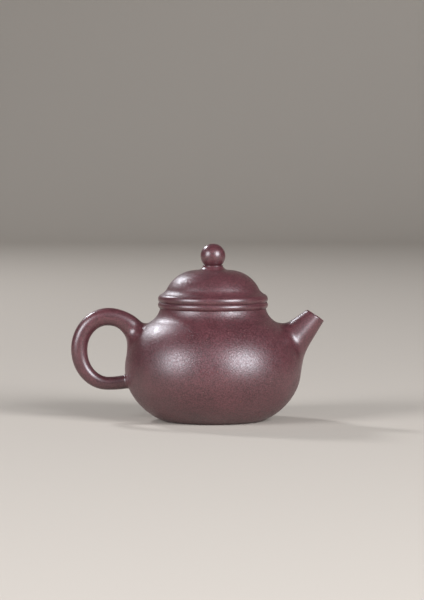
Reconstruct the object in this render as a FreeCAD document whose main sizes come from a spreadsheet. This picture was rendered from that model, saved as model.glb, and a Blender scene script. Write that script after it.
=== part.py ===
import FreeCAD, Part
import math
import os
import re
import Sketcher

# A hand-built clay teapot: a round pot luted together from slab, wall, neck, rim, spout and handle,
# and a lid that lifts out of the mouth. +Z is up, +X points along the spout, and the origin is the
# middle of the foot, on the surface that the pot stands on.

doc = FreeCAD.newDocument("Teapot")

# Driving sizes, in millimetres, and in degrees where the name ends in slope, angle, taper or tilt.
SIZES = {
    # Pot wall
    "wall": 3.0,
    "foot_radius": 25.8,
    "foot_slope": 21.0,
    "turn_slope": 60.0,
    "belly_radius": 45.4,
    "belly_height": 26.5,
    "shoulder_height": 24.5,
    "throat_height": 9.0,
    "throat_radius": 27.0,
    "rim_cover": 2.3,
    # Bottom slab
    "floor_thickness": 3.4,
    "dish_radius": 20.4,
    "dish_depth": 1.4,
    # Mouth rim
    "rim_height": 3.3,
    "rim_bulge": 0.85,
    "seat_step": 0.45,
    # Lid
    "lid_rim_height": 3.8,
    "lid_rim_bulge": 0.85,
    "lid_edge_step": 0.6,
    "flare_width": 3.5,
    "flare_height": 3.2,
    "crown_height": 9.4,
    "lid_wall": 3.0,
    "lid_clearance": 0.35,
    "flange_wall": 2.4,
    "flange_depth": 8.0,
    "flange_lead": 0.8,
    "vent_radius": 1.1,
    # Knob
    "collar_radius": 8.4,
    "collar_neck": 5.1,
    "collar_flare": 2.0,
    "collar_bead": 0.5,
    "collar_bulge": 0.2,
    "knob_radius": 6.4,
    "knob_sink": 1.6,
    # Spout, measured along its own slanted axis from the middle of the lip
    "spout_angle": 46.5,
    "spout_reach": 7.6,
    "spout_drop": 3.6,
    "spout_tip_radius": 5.1,
    "spout_taper": 12.4,
    "cone_length": 12.0,
    "spout_length": 27.0,
    "spout_flare": 3.45,
    "lip_tilt": 9.8,
    "lip_spare": 3.0,
    "bore_tip_radius": 3.7,
    "bore_root_radius": 6.2,
    # Strainer
    "strainer_radius": 9.2,
    "strainer_wall": 1.6,
    "strainer_hole_radius": 1.0,
    "inner_ring_angle": 27.0,
    "outer_ring_angle": 53.0,
    # Handle, whose middle line is an oval loop drawn out at both roots
    "loop_out": 8.6,
    "loop_rise": 9.8,
    "loop_half_width": 14.9,
    "loop_half_top": 17.1,
    "loop_half_low": 17.3,
    "upper_root_run": 16.6,
    "lower_root_run": 30.0,
    "grip_half": 4.25,
    "tail_half": 3.3,
    "upper_root_half": 5.7,
    "upper_root_half_width": 5.3,
    "lower_root_half": 3.6,
}

sheet = doc.addObject("Spreadsheet::Sheet", "Sizes")
for row, (alias, value) in enumerate(SIZES.items(), start=1):
    sheet.set(f"A{row}", alias)
    sheet.set(f"B{row}", str(value))
    sheet.setAlias(f"B{row}", alias)
doc.recompute()

# Places and sizes that follow from the driving ones. Each formula may use the names above it.
PLACES = {
    # Shoulder and neck: two arcs, upright at the belly and at the throat, that meet at the seam.
    # The throat, where the neck is narrowest, lies inside the rim, so the neck ends below it.
    "seam_height": "belly_height + shoulder_height",
    "throat_level": "seam_height + throat_height",
    "neck_top": "throat_level - rim_cover",
    "seam_share": "shoulder_height / (shoulder_height + throat_height)",
    "shoulder_depth": "belly_radius - throat_radius",
    "seam_radius": "belly_radius - shoulder_depth * seam_share",
    "shoulder_rise": "shoulder_height + throat_height",
    "both_bends": "(shoulder_depth^2 + shoulder_rise^2) / (2 * shoulder_depth)",
    "shoulder_bend": "seam_share * both_bends",
    "shoulder_centre": "belly_radius - shoulder_bend",
    "neck_bend": "both_bends - shoulder_bend",
    "neck_bend_centre": "throat_radius + neck_bend",
    "neck_radius": "neck_bend_centre - sqrt(neck_bend^2 - rim_cover^2)",
    "mouth_radius": "neck_bend_centre - sqrt((neck_bend + wall)^2 - rim_cover^2)",
    "seam_inside_radius": "seam_radius - wall * (seam_radius - shoulder_centre) / shoulder_bend",
    "seam_inside_height": "seam_height - wall * shoulder_height / shoulder_bend",
    "belly_inside": "belly_radius - wall",
    # Under side: two arcs from the foot to the belly, which meet where the wall has the turn slope
    "turn_sine": "sin(turn_slope * 1 deg)",
    "turn_cosine": "cos(turn_slope * 1 deg)",
    "sine_step": "turn_sine - sin(foot_slope * 1 deg)",
    "cosine_step": "cos(foot_slope * 1 deg) - turn_cosine",
    "belly_overhang": "belly_radius - foot_radius",
    "under_scale": "(1 - turn_sine) * cosine_step - sine_step * turn_cosine",
    "under_bend": "(belly_overhang * cosine_step - sine_step * belly_height) / under_scale",
    "foot_bend": "((1 - turn_sine) * belly_height - turn_cosine * belly_overhang) / under_scale",
    "turn_radius": "belly_radius - under_bend * (1 - turn_sine)",
    "turn_height": "belly_height - under_bend * turn_cosine",
    "foot_bend_centre": "turn_radius - foot_bend * turn_sine",
    "turn_inside_radius": "turn_radius - wall * turn_sine",
    "turn_inside_height": "turn_height + wall * turn_cosine",
    "inside_run": "turn_inside_radius - foot_radius",
    "inside_rise": "turn_inside_height - floor_thickness",
    "inside_lean": "inside_run * turn_sine - inside_rise * turn_cosine",
    "inside_bend": "(inside_run^2 + inside_rise^2) / (2 * inside_lean)",
    "inside_bend_centre": "turn_inside_radius - inside_bend * turn_sine",
    # Mouth rim: a bead between the neck and the flat lid seat
    "seat_height": "neck_top + rim_height",
    "seat_edge": "neck_radius + seat_step",
    "rim_chord": "sqrt(rim_height^2 + seat_step^2)",
    "rim_bend_drop": "(rim_chord^2 / 4 - rim_bulge^2) / (2 * rim_bulge)",
    "rim_bend_centre": "(neck_radius + seat_edge) / 2 - rim_bend_drop * rim_height / rim_chord",
    # Lid, with heights from the lid seat
    "lid_edge": "seat_edge - lid_edge_step",
    "lid_rim_chord": "sqrt(lid_rim_height^2 + lid_edge_step^2)",
    "lid_bend_drop": "(lid_rim_chord^2 / 4 - lid_rim_bulge^2) / (2 * lid_rim_bulge)",
    "lid_bend_centre": "(seat_edge + lid_edge) / 2 - lid_bend_drop * lid_rim_height / lid_rim_chord",
    "flare_top_radius": "lid_edge - flare_width",
    "flare_top_height": "lid_rim_height + flare_height",
    "lid_top": "flare_top_height + crown_height",
    "lid_ceiling": "lid_top - lid_wall",
    "crown_run": "flare_top_radius - collar_radius",
    "crown_bend": "(crown_run^2 + crown_height^2) / (2 * crown_height)",
    "flare_lean": "flare_width * crown_run - flare_height * (crown_bend - crown_height)",
    "flare_bend": "(flare_width^2 + flare_height^2) * crown_bend / (2 * flare_lean)",
    "flare_centre": "flare_top_radius + flare_bend * crown_run / crown_bend",
    "flange_outside": "mouth_radius - lid_clearance",
    "flange_inside": "flange_outside - flange_wall",
    "flange_end": "-flange_depth",
    "flange_lead_start": "flange_lead - flange_depth",
    "flange_lead_radius": "flange_outside - flange_lead / 2",
    # Knob and its collar
    "collar_bead_start": "lid_top + collar_flare",
    "knob_base": "collar_bead_start + collar_bead",
    "collar_bead_centre": "collar_neck - (collar_bead^2 / 4 - collar_bulge^2) / (2 * collar_bulge)",
    "knob_foot": "sqrt(2 * knob_radius * knob_sink - knob_sink^2)",
    "knob_tip": "knob_base + knob_radius - knob_sink + sqrt(knob_radius^2 - vent_radius^2)",
    # Spout axis and where it crosses the outer and inner faces of the shoulder
    "spout_lean": "90 - spout_angle",
    "lip_lean": "spout_lean - lip_tilt",
    "spout_across": "cos(spout_angle * 1 deg)",
    "spout_up": "sin(spout_angle * 1 deg)",
    "tip_x": "belly_radius + spout_reach",
    "tip_z": "neck_top - spout_drop",
    "tip_out": "tip_x - shoulder_centre",
    "tip_over": "tip_z - belly_height",
    "tip_along": "tip_out * spout_across + tip_over * spout_up",
    "tip_aside": "tip_out^2 + tip_over^2 - tip_along^2",
    "port_depth": "tip_along - sqrt((shoulder_bend - wall)^2 - tip_aside)",
    "port_x": "tip_x - port_depth * spout_across",
    "port_z": "tip_z - port_depth * spout_up",
    "drill_start": "strainer_radius - 2 * strainer_wall",
    # Spout form in its own frame
    "taper_tangent": "tan(spout_taper * 1 deg)",
    "stub_radius": "spout_tip_radius - lip_spare * taper_tangent",
    "cone_radius": "spout_tip_radius + cone_length * taper_tangent",
    "cone_end": "-cone_length",
    "root_radius": "spout_tip_radius + spout_length * taper_tangent + spout_flare",
    "root_end": "-spout_length",
    "root_run": "spout_length - cone_length",
    "root_spread": "root_radius - cone_radius",
    "root_lean": "spout_flare * cos(spout_taper * 1 deg)",
    "root_bend": "(root_run^2 + root_spread^2) / (2 * root_lean)",
    "root_bend_centre": "cone_radius + root_bend * cos(spout_taper * 1 deg)",
    "bore_depth": "port_depth + strainer_radius",
    "bore_x": "tip_x - bore_depth * spout_across",
    "bore_z": "tip_z - bore_depth * spout_up",
    "bore_length": "bore_depth + lip_spare",
    "bore_widening": "(bore_root_radius - bore_tip_radius) / bore_depth",
    "bore_end_radius": "bore_tip_radius - lip_spare * bore_widening",
    # Handle loop
    "loop_x": "-belly_radius - loop_out",
    "loop_z": "belly_height + loop_rise",
}

places = doc.addObject("App::VarSet", "Places")


def formula(text):
    """Spell out which table each plain name in a formula comes from."""

    def spelled(match):
        word = match.group(0)
        if word in SIZES:
            return f"Sizes.{word}"
        if word in PLACES:
            return f"Places.{word}"
        return word

    return re.sub(r"[a-z_]+", spelled, text)


for name in PLACES:
    places.addProperty("App::PropertyFloat", name)
for name, text in PLACES.items():
    places.setExpression(name, formula(text))
doc.recompute()


def value(name):
    """The number that a named size or place has now."""
    if name in SIZES:
        return float(sheet.get(name))
    return float(getattr(places, name))


# Names for the two zero lines of a half section.
AXIS = "axis"
GROUND = "ground"
ZERO_LINES = {AXIS: -2, GROUND: -1}


def coordinate(name):
    """The number of a named coordinate, where the axis and the ground count as zero."""
    return 0.0 if name in ZERO_LINES else value(name)


def arc_centre(start, end, bend):
    """Centre of the arc between two corners, whose radius or height is given by name."""
    which, name = bend
    known = coordinate(name)
    middle = (start + end) * 0.5
    across = FreeCAD.Vector(start.y - end.y, end.x - start.x, 0)
    if which == "radius":
        return middle + across * ((known - middle.x) / across.x)
    return middle + across * ((known - middle.y) / across.y)


def hold_point(sketch, geometry, end, direction, name):
    """Bind one coordinate of a sketch point to a named size, or to the axis or the ground."""
    if name in ZERO_LINES:
        sketch.addConstraint(Sketcher.Constraint("PointOnObject", geometry, end, ZERO_LINES[name]))
        return
    index = sketch.addConstraint(Sketcher.Constraint(direction, -1, 1, geometry, end, value(name)))
    sketch.setExpression(f"Constraints[{index}]", formula(name))


def half_section(body, outline):
    """Sketch a closed half section. Each corner gives its radius, its height and the bend after it."""
    sketch = body.newObject("Sketcher::SketchObject", f"{body.Name}_section")
    plane = next(item for item in body.Origin.OriginFeatures if item.Role == "XZ_Plane")
    sketch.AttachmentSupport = (plane, [""])
    sketch.MapMode = "FlatFace"
    points = [FreeCAD.Vector(coordinate(r), coordinate(z), 0) for r, z, _ in outline]
    tails = []
    heads = []
    for index, (_, _, bend) in enumerate(outline):
        start = points[index]
        end = points[(index + 1) % len(points)]
        if bend is None:
            edge = sketch.addGeometry(Part.LineSegment(start, end), False)
            forward = True
        else:
            centre = arc_centre(start, end, bend)
            forward = (start - centre).cross(end - centre).z > 0
            first, last = (start, end) if forward else (end, start)
            circle = Part.Circle(centre, FreeCAD.Vector(0, 0, 1), (start - centre).Length)
            angles = [math.atan2(p.y - centre.y, p.x - centre.x) for p in (first, last)]
            edge = sketch.addGeometry(Part.ArcOfCircle(circle, *angles), False)
        tails.append((edge, 1 if forward else 2))
        heads.append((edge, 2 if forward else 1))
    for index, (radius, height, _) in enumerate(outline):
        sketch.addConstraint(Sketcher.Constraint("Coincident", *heads[index - 1], *tails[index]))
        hold_point(sketch, *tails[index], "DistanceX", radius)
        hold_point(sketch, *tails[index], "DistanceY", height)
    for (edge, _), (_, _, bend) in zip(tails, outline):
        if bend is not None:
            which, name = bend
            hold_point(sketch, edge, 3, "DistanceX" if which == "radius" else "DistanceY", name)
    return sketch


def turned(name, outline):
    """A body turned about the upright axis from a half section."""
    body = doc.addObject("PartDesign::Body", name)
    sketch = half_section(body, outline)
    turning = body.newObject("PartDesign::Revolution", f"{name}_turning")
    turning.Profile = sketch
    turning.ReferenceAxis = (sketch, ["V_Axis"])
    turning.Angle = 360.0
    return body


def set_along(item, x_name, z_name, lean_name):
    """Stand an object on a point of the middle plane, with its own +Z leaning towards +X."""
    item.Placement = FreeCAD.Placement(
        FreeCAD.Vector(value(x_name), 0, value(z_name)),
        FreeCAD.Rotation(FreeCAD.Vector(0, 1, 0), value(lean_name)),
    )
    item.setExpression("Placement.Base.x", formula(x_name))
    item.setExpression("Placement.Base.z", formula(z_name))
    item.setExpression("Placement.Rotation.Angle", formula(lean_name))


def combined(kind, name, base, tool):
    """A boolean of two objects: Part::Cut or Part::Common."""
    item = doc.addObject(kind, name)
    item.Base = base
    item.Tool = tool
    return item


# Outer face of the pot, from the foot up to the neck, and the inner face, from the neck down.
OUTER_BELLY = [
    ("foot_radius", GROUND, ("radius", "foot_bend_centre")),
    ("turn_radius", "turn_height", ("height", "belly_height")),
]
OUTER_SHOULDER = [
    ("belly_radius", "belly_height", ("height", "belly_height")),
]
OUTER_NECK = [
    ("seam_radius", "seam_height", ("height", "throat_level")),
    ("neck_radius", "neck_top", None),
]
INNER_NECK = [
    ("mouth_radius", "neck_top", ("height", "throat_level")),
]
INNER_SHOULDER = [
    ("seam_inside_radius", "seam_inside_height", ("height", "belly_height")),
]
INNER_BELLY = [
    ("belly_inside", "belly_height", ("height", "belly_height")),
    ("turn_inside_radius", "turn_inside_height", ("radius", "inside_bend_centre")),
    ("foot_radius", "floor_thickness", None),
]

# The whole pot without its hollow, and the hollow alone, which cut what is luted to the wall.
pot_form = turned(
    "pot_form",
    [(AXIS, GROUND, None), *OUTER_BELLY, *OUTER_SHOULDER, *OUTER_NECK, (AXIS, "neck_top", None)],
)
hollow_form = turned(
    "hollow_form",
    [
        (AXIS, "neck_top", None),
        *INNER_NECK,
        *INNER_SHOULDER,
        *INNER_BELLY,
        (AXIS, "floor_thickness", None),
    ],
)

# Bottom slab, pressed in at the middle so that the pot stands on a ring.
base_disc = turned(
    "base_disc",
    [
        (AXIS, "dish_depth", ("radius", AXIS)),
        ("dish_radius", GROUND, None),
        ("foot_radius", GROUND, None),
        ("foot_radius", "floor_thickness", None),
        (AXIS, "floor_thickness", None),
    ],
)

# Wall of the belly, from the foot up to the widest line of the pot.
belly_wall = turned(
    "belly_wall",
    [*OUTER_BELLY, ("belly_radius", "belly_height", None), *INNER_BELLY],
)

# Wall of the shoulder, from the widest line up to the seam under the neck.
shoulder_shell = turned(
    "shoulder_shell",
    [
        *OUTER_SHOULDER,
        ("seam_radius", "seam_height", None),
        *INNER_SHOULDER,
        ("belly_inside", "belly_height", None),
    ],
)

# Neck strip on the shoulder.
neck_ring = turned(
    "neck_ring",
    [*OUTER_NECK, *INNER_NECK, ("seam_inside_radius", "seam_inside_height", None)],
)

# Rim bead with the flat seat for the lid.
mouth_rim = turned(
    "mouth_rim",
    [
        ("mouth_radius", "neck_top", None),
        ("neck_radius", "neck_top", ("radius", "rim_bend_centre")),
        ("seat_edge", "seat_height", None),
        ("mouth_radius", "seat_height", None),
    ],
)

# The pour passage: one cone through the spout and the wall behind it.
pour_passage = doc.addObject("Part::Cone", "pour_passage")
pour_passage.setExpression("Radius1", formula("bore_root_radius"))
pour_passage.setExpression("Radius2", formula("bore_end_radius"))
pour_passage.setExpression("Height", formula("bore_length"))
set_along(pour_passage, "bore_x", "bore_z", "spout_lean")

shoulder_wall = combined("Part::Cut", "shoulder_wall", shoulder_shell, pour_passage)

# Spout: a cone that flares into the shoulder, cut to the pot's face and to its slanted lip.
spout_form = turned(
    "spout_form",
    [
        (AXIS, "lip_spare", None),
        ("stub_radius", "lip_spare", None),
        ("cone_radius", "cone_end", ("radius", "root_bend_centre")),
        ("root_radius", "root_end", None),
        (AXIS, "root_end", None),
    ],
)
set_along(spout_form, "tip_x", "tip_z", "spout_lean")

lip_cutter = doc.addObject("Part::Cylinder", "lip_cutter")
lip_cutter.setExpression("Radius", formula("2 * spout_tip_radius"))
lip_cutter.setExpression("Height", formula("lip_spare + 2 * spout_tip_radius"))
set_along(lip_cutter, "tip_x", "tip_z", "lip_lean")

spout_root = combined("Part::Cut", "spout_root", spout_form, pot_form)
spout_tube = combined("Part::Cut", "spout_tube", spout_root, pour_passage)
spout = combined("Part::Cut", "spout", spout_tube, lip_cutter)

# Strainer: a pierced half ball inside the wall, over the pour passage.
strainer_ball = doc.addObject("Part::Sphere", "strainer_ball")
strainer_ball.setExpression("Radius", formula("strainer_radius"))
set_along(strainer_ball, "port_x", "port_z", "spout_lean")

strainer_void = doc.addObject("Part::Sphere", "strainer_void")
strainer_void.setExpression("Radius", formula("strainer_radius - strainer_wall"))
set_along(strainer_void, "port_x", "port_z", "spout_lean")

strainer_skin = combined("Part::Cut", "strainer_skin", strainer_ball, strainer_void)

# Rings of strainer holes: how many, and the name of their angle from the spout axis.
STRAINER_RINGS = [(1, None), (6, "inner_ring_angle"), (11, "outer_ring_angle")]
ball_centre = FreeCAD.Vector(value("port_x"), 0, value("port_z"))
inward = FreeCAD.Rotation(FreeCAD.Vector(0, 1, 0), value("spout_lean") + 180.0)
strainer_holes = []
for count, angle_name in STRAINER_RINGS:
    for step in range(count):
        hole = doc.addObject("Part::Cylinder", f"strainer_hole_{len(strainer_holes)}")
        hole.setExpression("Radius", formula("strainer_hole_radius"))
        hole.setExpression("Height", formula("3 * strainer_wall"))
        turn = FreeCAD.Rotation(FreeCAD.Vector(0, 0, 1), 360.0 * step / count)
        tilt_angle = 0.0 if angle_name is None else value(angle_name)
        tilt = FreeCAD.Rotation(FreeCAD.Vector(0, 1, 0), tilt_angle)
        aim = inward.multiply(turn).multiply(tilt)
        start = aim.multVec(FreeCAD.Vector(0, 0, value("drill_start")))
        hole.Placement = FreeCAD.Placement(ball_centre + start, aim)
        strainer_holes.append(hole)

strainer_drill = doc.addObject("Part::MultiFuse", "strainer_drill")
strainer_drill.Shapes = strainer_holes
strainer_pierced = combined("Part::Cut", "strainer_pierced", strainer_skin, strainer_drill)
strainer_dome = combined("Part::Common", "strainer_dome", strainer_pierced, hollow_form)

# Handle: oval sections round the loop, from inside the shoulder, over the top and back to the belly.
# Each station gives its angle round the loop, its half thickness and its half width across.
HANDLE_STATIONS = [
    (2, "upper_root_half", "upper_root_half_width"),
    (15, "upper_root_half", "upper_root_half_width"),
    (28, "upper_root_half", "upper_root_half_width"),
    (46, "(3 * upper_root_half + grip_half) / 4", "(2 * upper_root_half_width + grip_half) / 3"),
    (66, "(upper_root_half + 3 * grip_half) / 4", "(upper_root_half_width + 4 * grip_half) / 5"),
    (90, "(upper_root_half + 4 * grip_half) / 5", "(upper_root_half_width + 9 * grip_half) / 10"),
    (120, "(upper_root_half + 12 * grip_half) / 13", "grip_half"),
    (150, "grip_half", "grip_half"),
    (180, "grip_half", "grip_half"),
    (206, "(3 * grip_half + tail_half) / 4", "(3 * grip_half + tail_half) / 4"),
    (228, "(grip_half + tail_half) / 2", "(grip_half + tail_half) / 2"),
    (250, "(grip_half + 3 * tail_half) / 4", "(grip_half + 3 * tail_half) / 4"),
    (270, "tail_half", "tail_half"),
    (282, "(tail_half + lower_root_half) / 2", "(tail_half + lower_root_half) / 2"),
    (290, "lower_root_half", "lower_root_half"),
    (300, "lower_root_half", "lower_root_half"),
]
handle_sections = []
for angle, thickness, width in HANDLE_STATIONS:
    across = math.cos(math.radians(angle))
    above = math.sin(math.radians(angle))
    root_name = "upper_root_run" if above > 0 else "lower_root_run"
    run = value(root_name if across > 0 else "loop_half_width")
    rise = value("loop_half_top" if above > 0 else "loop_half_low")
    heading = math.degrees(math.atan2(-run * above, rise * across))
    section = doc.addObject("Part::Ellipse", f"handle_section_{angle}")
    section.setExpression("MajorRadius", formula(thickness))
    section.setExpression("MinorRadius", formula(width))
    section.Placement = FreeCAD.Placement(
        FreeCAD.Vector(value("loop_x") + run * across, 0, value("loop_z") + rise * above),
        FreeCAD.Rotation(FreeCAD.Vector(0, 1, 0), heading),
    )
    handle_sections.append(section)

handle_form = doc.addObject("Part::Loft", "handle_form")
handle_form.Sections = handle_sections
handle_form.Solid = True
handle_form.Ruled = False
handle = combined("Part::Cut", "handle", handle_form, pot_form)

# Lid: dome, rim bead, flange, collar and knob, each drawn from the lid seat up.
lid_dome = turned(
    "lid_dome",
    [
        ("flange_inside", "lid_rim_height", None),
        ("lid_edge", "lid_rim_height", ("radius", "flare_centre")),
        ("flare_top_radius", "flare_top_height", ("radius", "collar_radius")),
        ("collar_radius", "lid_top", None),
        ("vent_radius", "lid_top", None),
        ("vent_radius", "lid_ceiling", None),
        ("collar_radius", "lid_ceiling", ("radius", "collar_radius")),
    ],
)
lid_rim = turned(
    "lid_rim",
    [
        ("flange_inside", GROUND, None),
        ("seat_edge", GROUND, ("radius", "lid_bend_centre")),
        ("lid_edge", "lid_rim_height", None),
        ("flange_inside", "lid_rim_height", None),
    ],
)
lid_flange = turned(
    "lid_flange",
    [
        ("flange_inside", "flange_end", None),
        ("flange_lead_radius", "flange_end", None),
        ("flange_outside", "flange_lead_start", None),
        ("flange_outside", GROUND, None),
        ("flange_inside", GROUND, None),
    ],
)
knob_collar = turned(
    "knob_collar",
    [
        ("vent_radius", "lid_top", None),
        ("collar_radius", "lid_top", ("radius", "collar_radius")),
        ("collar_neck", "collar_bead_start", ("radius", "collar_bead_centre")),
        ("collar_neck", "knob_base", None),
        ("vent_radius", "knob_base", None),
    ],
)
knob = turned(
    "knob",
    [
        ("vent_radius", "knob_base", None),
        ("knob_foot", "knob_base", ("radius", AXIS)),
        ("vent_radius", "knob_tip", None),
    ],
)
lid_pieces = [lid_dome, lid_rim, lid_flange, knob_collar, knob]
for piece in lid_pieces:
    piece.setExpression("Placement.Base.z", formula("seat_height"))

pieces = [
    base_disc,
    belly_wall,
    shoulder_wall,
    neck_ring,
    mouth_rim,
    spout,
    strainer_dome,
    handle,
    *lid_pieces,
]

doc.recompute()

broken = [item.Name for item in doc.Objects if {"Invalid", "Error"} & set(item.State)]
if broken:
    raise RuntimeError(f"these objects failed: {broken}")
for piece in pieces:
    if piece.Shape.isNull() or not piece.Shape.isValid():
        raise RuntimeError(f"{piece.Label} has no valid shape")
    if len(piece.Shape.Solids) != 1:
        raise RuntimeError(f"{piece.Label} has {len(piece.Shape.Solids)} solids, and should have one")

os.makedirs("parts", exist_ok=True)
for piece in pieces:
    solid = piece.Shape.Solids[0]
    solid.exportStep(f"parts/{piece.Label}.step")
    print(f"{piece.Label}: {solid.Volume:.1f} mm3")
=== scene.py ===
import math
from collections import namedtuple

import bpy
import numpy as np
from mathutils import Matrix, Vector


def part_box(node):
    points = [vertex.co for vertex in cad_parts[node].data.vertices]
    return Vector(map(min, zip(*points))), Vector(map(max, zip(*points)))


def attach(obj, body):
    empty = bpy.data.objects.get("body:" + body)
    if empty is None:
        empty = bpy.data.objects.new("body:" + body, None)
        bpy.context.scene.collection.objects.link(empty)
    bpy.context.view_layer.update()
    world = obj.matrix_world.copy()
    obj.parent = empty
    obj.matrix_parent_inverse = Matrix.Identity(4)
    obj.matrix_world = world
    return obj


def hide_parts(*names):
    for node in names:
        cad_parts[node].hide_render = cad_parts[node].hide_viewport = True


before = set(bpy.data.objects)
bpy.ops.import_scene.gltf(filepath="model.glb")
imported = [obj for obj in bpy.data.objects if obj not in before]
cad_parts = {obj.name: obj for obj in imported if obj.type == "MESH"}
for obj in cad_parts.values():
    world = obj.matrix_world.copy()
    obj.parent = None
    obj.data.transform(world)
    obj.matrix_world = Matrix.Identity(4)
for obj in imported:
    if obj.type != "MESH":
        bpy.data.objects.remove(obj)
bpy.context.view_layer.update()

# The bottom slab is a disc cut from a beaten sheet of clay and luted into the foot of the wall.
# It is pressed in at the middle, so that the pot stands on a ring, and its upper face is only scraped.
# It is fired unglazed, like every other piece, in a purple-brown clay with a fine sandy grain.
MM = 0.001
FOOT_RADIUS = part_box("base_disc")[1].x / MM
FLOOR_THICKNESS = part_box("base_disc")[1].z / MM
DISH_RADIUS = 20.4
DISH_DEPTH = 1.4
DISH_EASE = 1.2
SEGMENTS_AROUND = 192
RUN_STEP = 0.6
EASE_STEPS = 5
SHARP = 0.12

Corner = namedtuple("Corner", "radius height ease centre raw", defaults=(SHARP, None, False))


def run_points(start, end, centre):
    """A function that gives a point of a straight run, or of an arc about a centre, and its length."""
    first = np.array(start, float)
    last = np.array(end, float)
    if centre is None:
        return (lambda share: first + (last - first) * share), float(np.linalg.norm(last - first))
    middle = np.array(centre, float)
    reach = np.linalg.norm(first - middle)
    angle = math.atan2(first[1] - middle[1], first[0] - middle[0])
    turn = math.atan2(last[1] - middle[1], last[0] - middle[0]) - angle
    turn = (turn + math.pi) % (2 * math.pi) - math.pi

    def point(share):
        here = angle + turn * share
        return middle + reach * np.array([math.cos(here), math.sin(here)])

    return point, abs(turn) * reach


def eased(corner, length):
    """Share of a run that the ease of a corner takes up, which is half of the run at the most."""
    return min(corner.ease / length, 0.5)


def rounded(begin, corner, end, share):
    """A point of the curve that eases a corner: it runs from begin to end and is drawn to the corner."""
    return (1 - share) ** 2 * begin + 2 * share * (1 - share) * corner + share**2 * end


def section(corners):
    """Half section of a turned piece in millimetres: its points, and whether each run is raw clay."""
    runs = []
    for corner, ahead in zip(corners, corners[1:] + corners[:1]):
        runs.append(run_points(corner[:2], ahead[:2], corner.centre))
    points = []
    raw = []
    for index, corner in enumerate(corners):
        before, before_length = runs[index - 1]
        after, after_length = runs[index]
        ahead = corners[(index + 1) % len(corners)]
        at = np.array(corner[:2], float)
        if corner.radius > 0:
            leave = before(1 - eased(corner, before_length))
            join = after(eased(corner, after_length))
            points += [rounded(leave, at, join, share) for share in np.linspace(0, 1, EASE_STEPS)]
        else:
            points.append(at)
        if corner.radius > 0 or ahead.radius > 0:
            begin = eased(corner, after_length)
            finish = 1 - eased(ahead, after_length)
            count = max(2, round(after_length * (finish - begin) / RUN_STEP))
            points += [after(share) for share in np.linspace(begin, finish, count + 1)[1:-1]]
        raw += [corner.raw] * (len(points) - len(raw))
    return np.array(points), raw


def clay_mesh(name, points, faces, raw_faces, body, *nodes, skin=None):
    """A piece of clay from points in millimetres, which rides on a body and stands for its nodes.

    Its faces are raw clay where they are marked, and elsewhere have a skin: burnished, if none is given."""
    mesh = bpy.data.meshes.new(name)
    mesh.from_pydata((np.array(points) * MM).tolist(), [], faces)
    mesh.materials.append(skin or burnished_clay)
    mesh.materials.append(raw_clay)
    mesh.polygons.foreach_set("material_index", [int(flag) for flag in raw_faces])
    mesh.polygons.foreach_set("use_smooth", [True] * len(faces))
    mesh.update()
    piece = bpy.data.objects.new(name, mesh)
    bpy.context.scene.collection.objects.link(piece)
    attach(piece, body)
    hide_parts(*nodes)
    return piece


def turned(name, corners, body, *nodes, skin=None):
    """A piece turned about the upright axis from the corners of its half section."""
    profile, raw = section(corners)
    points = []
    rings = []
    for radius, height in profile:
        if radius == 0:
            rings.append([len(points)] * SEGMENTS_AROUND)
            points.append((0.0, 0.0, height))
            continue
        rings.append(range(len(points), len(points) + SEGMENTS_AROUND))
        for step in range(SEGMENTS_AROUND):
            angle = 2 * math.pi * step / SEGMENTS_AROUND
            points.append((radius * math.cos(angle), radius * math.sin(angle), height))
    faces = []
    raw_faces = []
    for index, ring in enumerate(rings):
        above = rings[(index + 1) % len(rings)]
        if ring[0] == ring[1] and above[0] == above[1]:
            continue
        for step in range(SEGMENTS_AROUND):
            ahead = (step + 1) % SEGMENTS_AROUND
            corner_list = [ring[step], ring[ahead], above[ahead], above[step]]
            faces.append(list(dict.fromkeys(corner_list)))
            raw_faces.append(raw[index])
    return clay_mesh(name, points, faces, raw_faces, body, *nodes, skin=skin)


CLAY_DARK = (0.038, 0.0104, 0.0123, 1.0)
CLAY_LIGHT = (0.135, 0.0418, 0.0490, 1.0)
SAND_PALE = (0.23, 0.115, 0.100, 1.0)
SAND_RED = (0.20, 0.055, 0.035, 1.0)
PIT_DARK = (0.030, 0.010, 0.011, 1.0)
CLAY_SHINE = 0.95
# Scales of the patterns in the clay, in repeats per metre, and how far the scraping marks wander.
CLOUDS = 70.0
GRAINS = 1500.0
POLISH_MARKS = 900.0
PALE_SAND = 620.0
RED_SAND = 430.0
PITS = 520.0
TOOTH_COARSE = 1400.0
TOOTH_FINE = 3200.0
SCRAPES = 130.0
SCRAPE_WANDER = 6.0
SCRAPE_DETAIL = 3.0
# Heights of the relief in the clay, in metres.
COARSE_HEIGHT = 0.00013
FINE_HEIGHT = 0.00002
PIT_DEPTH = 0.00006
SCRAPE_DEPTH = 0.00012
# Shares: of the clouds in the tone, of the pits in the tooth, and of uneven polish for a full tooth.
CLOUD_SHARE = 0.3
PIT_SHARE = 0.6
UNEVEN_POLISH = 0.09


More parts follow.
